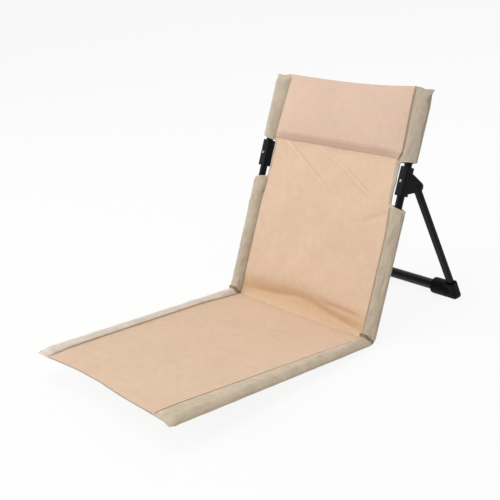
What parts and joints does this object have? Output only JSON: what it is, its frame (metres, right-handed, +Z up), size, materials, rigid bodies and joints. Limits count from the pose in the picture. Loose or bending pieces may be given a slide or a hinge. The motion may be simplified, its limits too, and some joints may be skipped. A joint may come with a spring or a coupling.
{
  "type": "folding beach chair",
  "caption": "Legless folding beach chair: canvas seat mat and back on steel poles in side sleeves, hinged at the floor corner, with a folding rear stand.",
  "frame": {"origin": "bottom centre of the open chair's box, on the floor", "axes": "+Z up, -Y the way the sitter faces, +Y towards the rear stand, +X across the seat"},
  "size_m": [0.46, 0.8031, 0.4786],
  "materials": {
    "black_steel": "black powder coat, satin",
    "black_plastic": "moulded black plastic, matte",
    "bright_steel": "bright plated steel",
    "peach_canvas": "peach-beige woven canvas",
    "headrest_canvas": "slightly pinker beige woven canvas",
    "khaki_canvas": "khaki-grey linen-look canvas"
  },
  "bodies": {
    "back_frame": {"back_pole_left": "black_steel", "back_pole_right": "black_steel", "back_pole_cap_left": "black_plastic", "back_pole_cap_right": "black_plastic", "back_knuckle_left": "black_plastic", "back_knuckle_right": "black_plastic", "hinge_pin_left": "bright_steel", "hinge_pin_right": "bright_steel", "stand_bracket_left": "black_plastic", "stand_bracket_right": "black_plastic", "bracket_rivet_left": "bright_steel", "bracket_rivet_right": "bright_steel", "stand_pivot_pin_left": "black_steel", "stand_pivot_pin_right": "black_steel", "lower_back_sleeve_left": "khaki_canvas", "lower_back_sleeve_right": "khaki_canvas", "upper_back_sleeve_left": "khaki_canvas", "upper_back_sleeve_right": "khaki_canvas", "back_panel": "peach_canvas", "headrest_panel": "headrest_canvas"},
    "seat_frame": {"seat_pole_left": "black_steel", "seat_pole_right": "black_steel", "seat_pole_cap_left": "black_plastic", "seat_pole_cap_right": "black_plastic", "seat_knuckle_left": "black_plastic", "seat_knuckle_right": "black_plastic", "seat_sleeve_left": "khaki_canvas", "seat_sleeve_right": "khaki_canvas", "seat_panel": "peach_canvas"},
    "rear_stand": {"stand_strut_left": "black_steel", "stand_strut_right": "black_steel", "stand_foot_left": "black_plastic", "stand_foot_right": "black_plastic", "stand_cross_tube": "black_steel"}
  },
  "joints": [
    {"name": "seat_fold", "type": "hinge", "parent": "back_frame", "child": "seat_frame", "pos_m": [0, 0.10146, 0.02135], "axis": [-1, 0, 0], "range_deg": [0, 107]},
    {"name": "stand_fold", "type": "hinge", "parent": "back_frame", "child": "rear_stand", "pos_m": [0, 0.28462, 0.28806], "axis": [-1, 0, 0], "range_deg": [0, 45]}
  ]
}
